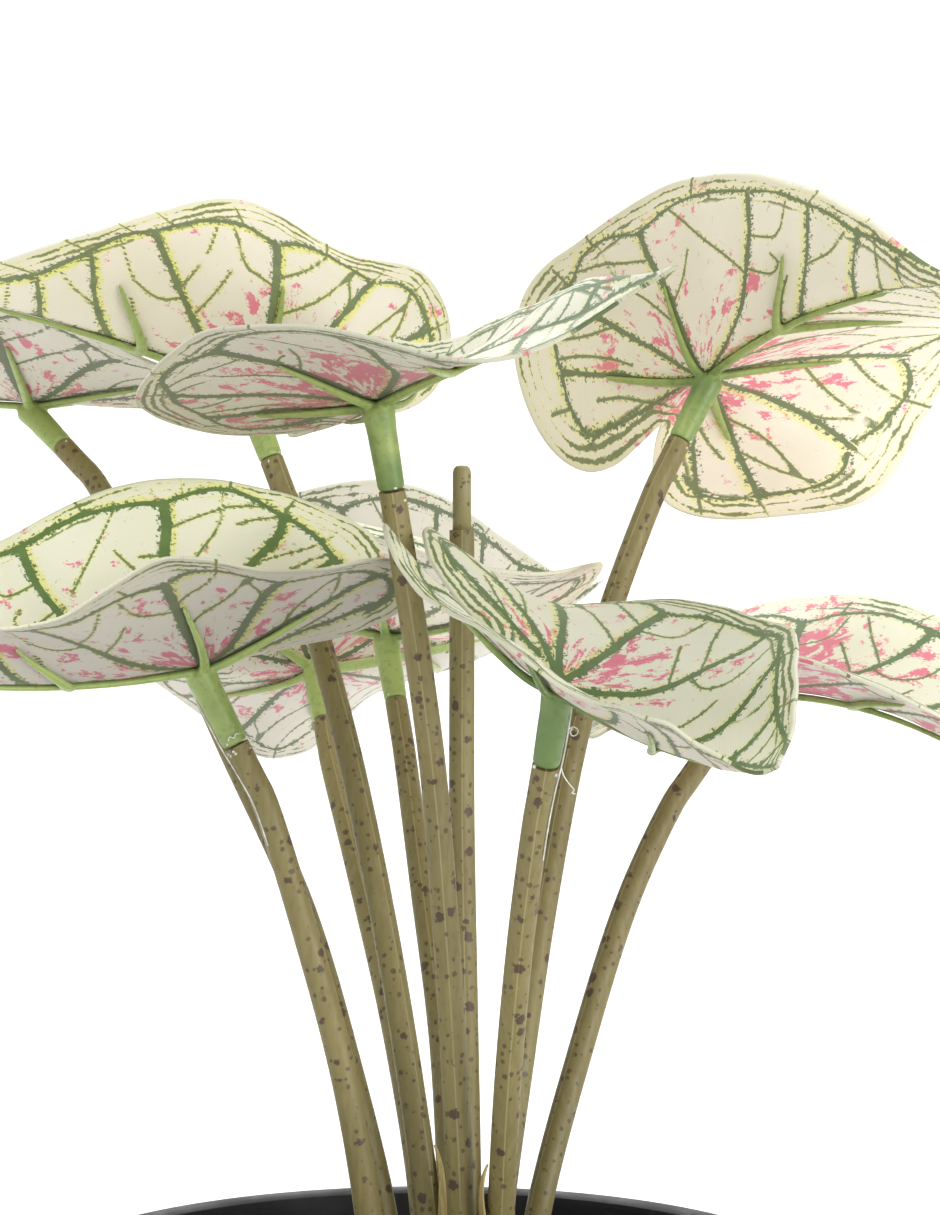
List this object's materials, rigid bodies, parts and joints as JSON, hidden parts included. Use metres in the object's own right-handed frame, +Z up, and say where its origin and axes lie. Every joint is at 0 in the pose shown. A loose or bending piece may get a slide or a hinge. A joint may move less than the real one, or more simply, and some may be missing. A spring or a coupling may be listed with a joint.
{
  "type": "potted caladium",
  "caption": "Artificial caladium in a round nursery pot: printed heart-shaped fabric leaves on plastic rib clips and thin stems, and one bare stem, standing in a weighted fill.",
  "frame": {"origin": "middle of the pot's flat underside", "axes": "+Z up along the pot's axis; the front of the plant looks toward -Y, and +X is to its right as seen from the front"},
  "size_m": [0.25, 0.2501, 0.2908],
  "materials": {
    "leaf": "matte",
    "clip": "satin",
    "stem": "satin",
    "pot": "satin",
    "fill": "rough"
  },
  "bodies": {
    "root": {"leaf_upper_left": "leaf", "clip_upper_left": "clip", "stem_upper_left": "stem", "leaf_far_upper_left": "leaf", "clip_far_upper_left": "clip", "stem_far_upper_left": "stem", "leaf_upper_middle": "leaf", "clip_upper_middle": "clip", "stem_upper_middle": "stem", "leaf_lower_left": "leaf", "clip_lower_left": "clip", "stem_lower_left": "stem", "leaf_upper_right": "leaf", "clip_upper_right": "clip", "stem_upper_right": "stem", "leaf_lower_middle": "leaf", "clip_lower_middle": "clip", "stem_lower_middle": "stem", "leaf_back_lower": "leaf", "clip_back_lower": "clip", "stem_back_lower": "stem", "leaf_back_middle": "leaf", "clip_back_middle": "clip", "stem_back_middle": "stem", "leaf_lower_right": "leaf", "clip_lower_right": "clip", "stem_lower_right": "stem", "stem_bare": "stem", "pot": "pot", "fill": "fill"}
  },
  "joints": []
}
